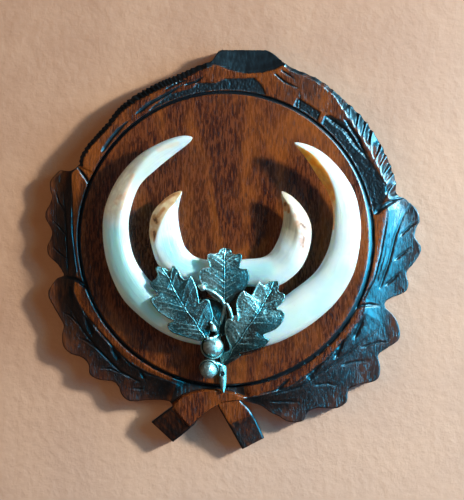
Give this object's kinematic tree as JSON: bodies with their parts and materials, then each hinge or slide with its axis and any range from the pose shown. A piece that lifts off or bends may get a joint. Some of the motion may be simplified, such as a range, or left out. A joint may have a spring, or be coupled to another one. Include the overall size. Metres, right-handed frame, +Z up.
{
  "type": "boar tusk trophy plaque",
  "caption": "Boar tusks curving up from a cast oak-leaf and acorn cover on a round wooden wall plaque carved with oak leaves.",
  "frame": {"origin": "on the plaque's flat back, behind the middle of its round disc", "axes": "+Z up as it hangs, +Y into the wall, so the tusks face -Y, and +X to the viewer's right"},
  "size_m": [0.2267, 0.036, 0.241],
  "materials": {
    "stained_wood": "varnished, stained near black in the carving",
    "tusk_ivory": "polished enamel and dentine, yellow to brown stains",
    "antiqued_metal": "antiqued cast metal, dark in the hollows and rubbed bright on the edges",
    "dark_steel": "dark and dull"
  },
  "bodies": {
    "root": {"plaque": "stained_wood", "lower_tusk_left": "tusk_ivory", "lower_tusk_right": "tusk_ivory", "upper_tusk_left": "tusk_ivory", "upper_tusk_right": "tusk_ivory", "oak_leaf_cover": "antiqued_metal", "cover_nail": "dark_steel"}
  },
  "joints": []
}
